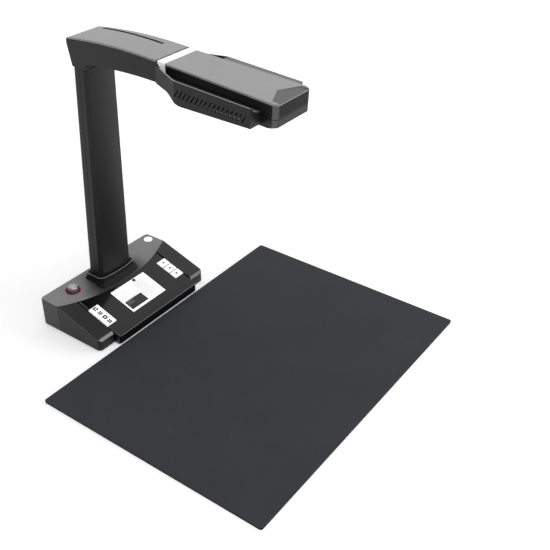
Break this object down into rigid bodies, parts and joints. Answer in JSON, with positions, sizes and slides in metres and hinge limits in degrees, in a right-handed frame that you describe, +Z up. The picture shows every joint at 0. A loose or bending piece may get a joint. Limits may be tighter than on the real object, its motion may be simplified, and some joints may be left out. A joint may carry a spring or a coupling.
{
  "type": "book scanner",
  "caption": "Overhead book scanner: sloping base with display and keys, leaning column, arm with camera head and side lamps, and a flat work mat.",
  "frame": {"origin": "centre of the underside of the base's non-slip pad, on the table", "axes": "+Z up, +X to the operator's right along the base, -Y towards the operator and the work mat"},
  "size_m": [0.44, 0.446, 0.3849],
  "materials": {
    "housing": "fine satin texture",
    "grey_top": "satin",
    "light_top": "satin",
    "gloss_black": "polished",
    "screen_glass": "polished",
    "screen": "lit display",
    "bright_band": "bright satin",
    "ring_red": "translucent look",
    "cap_silver": "satin",
    "key_white": "smooth",
    "light_blue": "light pipe",
    "rubber": "matt",
    "steel": "zinc plated",
    "screw_steel": "machined",
    "board_green": "solder mask",
    "diffuser": "milky",
    "lens_black": "black",
    "lens_glass": "coated",
    "ribbon": "film",
    "mat": "fine grained top",
    "socket_steel": "nickel",
    "socket_black": "moulded"
  },
  "bodies": {
    "stand": {"arm_bar": "steel", "arm_shell": "housing", "arm_slot_window": "gloss_black", "arm_top_cover": "light_top", "ballast_plate": "steel", "base_screws": "screw_steel", "base_tray": "housing", "board_screws": "screw_steel", "board_standoffs": "screw_steel", "camera_board": "board_green", "centre_panel": "gloss_black", "column_collar": "housing", "column_front_shell": "housing", "column_rear_shell": "housing", "column_spine": "steel", "data_socket": "socket_steel", "display_glass": "screen_glass", "display_module": "screen", "front_window": "gloss_black", "head_lower_shell": "housing", "head_screws": "screw_steel", "head_top_plate": "light_top", "head_upper_shell": "housing", "joint_band": "bright_band", "lamp_button_board": "board_green", "left_diffuser": "diffuser", "left_end_shell": "housing", "left_key_board": "board_green", "left_lamp_board": "board_green", "left_wing": "housing", "lens_barrel": "lens_black", "lens_glass": "lens_glass", "main_board": "board_green", "non_slip_pad": "rubber", "port_panel": "housing", "power_button_board": "board_green", "power_jack": "socket_black", "power_ring": "ring_red", "rear_cover": "grey_top", "ribbon_cable": "ribbon", "right_diffuser": "diffuser", "right_end_shell": "housing", "right_key_board": "board_green", "right_lamp_board": "board_green", "right_wing": "housing", "spine_screws": "screw_steel", "status_lights": "light_blue"},
    "left_key_1": {"left_key_1": "key_white"},
    "left_key_2": {"left_key_2": "key_white"},
    "left_key_3": {"left_key_3": "key_white"},
    "left_key_4": {"left_key_4": "key_white"},
    "right_key_1": {"right_key_1": "key_white"},
    "right_key_2": {"right_key_2": "key_white"},
    "right_key_3": {"right_key_3": "key_white"},
    "power_button": {"power_button": "cap_silver"},
    "lamp_button": {"lamp_button": "key_white"},
    "mat": {"work_mat": "mat"}
  },
  "joints": [
    {"name": "left_key_1_press", "type": "slide", "parent": "stand", "child": "left_key_1", "axis": [0, 0.3057, -0.9521], "range_m": [0, 0.0008], "stiffness_N_per_m": 300, "springref_m": -0.0005},
    {"name": "left_key_2_press", "type": "slide", "parent": "stand", "child": "left_key_2", "axis": [0, 0.3057, -0.9521], "range_m": [0, 0.0008], "stiffness_N_per_m": 300, "springref_m": -0.0005},
    {"name": "left_key_3_press", "type": "slide", "parent": "stand", "child": "left_key_3", "axis": [0, 0.3057, -0.9521], "range_m": [0, 0.0008], "stiffness_N_per_m": 300, "springref_m": -0.0005},
    {"name": "left_key_4_press", "type": "slide", "parent": "stand", "child": "left_key_4", "axis": [0, 0.3057, -0.9521], "range_m": [0, 0.0008], "stiffness_N_per_m": 300, "springref_m": -0.0005},
    {"name": "right_key_1_press", "type": "slide", "parent": "stand", "child": "right_key_1", "axis": [0, 0.3057, -0.9521], "range_m": [0, 0.0008], "stiffness_N_per_m": 300, "springref_m": -0.0005},
    {"name": "right_key_2_press", "type": "slide", "parent": "stand", "child": "right_key_2", "axis": [0, 0.3057, -0.9521], "range_m": [0, 0.0008], "stiffness_N_per_m": 300, "springref_m": -0.0005},
    {"name": "right_key_3_press", "type": "slide", "parent": "stand", "child": "right_key_3", "axis": [0, 0.3057, -0.9521], "range_m": [0, 0.0008], "stiffness_N_per_m": 300, "springref_m": -0.0005},
    {"name": "power_button_press", "type": "slide", "parent": "stand", "child": "power_button", "axis": [0, 0, -1], "range_m": [0, 0.0015], "stiffness_N_per_m": 400, "springref_m": -0.0005},
    {"name": "lamp_button_press", "type": "slide", "parent": "stand", "child": "lamp_button", "axis": [0, 0, -1], "range_m": [0, 0.0008], "stiffness_N_per_m": 300, "springref_m": -0.0005},
    {"name": "mat_slide", "type": "slide", "parent": "stand", "child": "mat", "axis": [0, -1, 0], "range_m": [0, 0.1]}
  ]
}
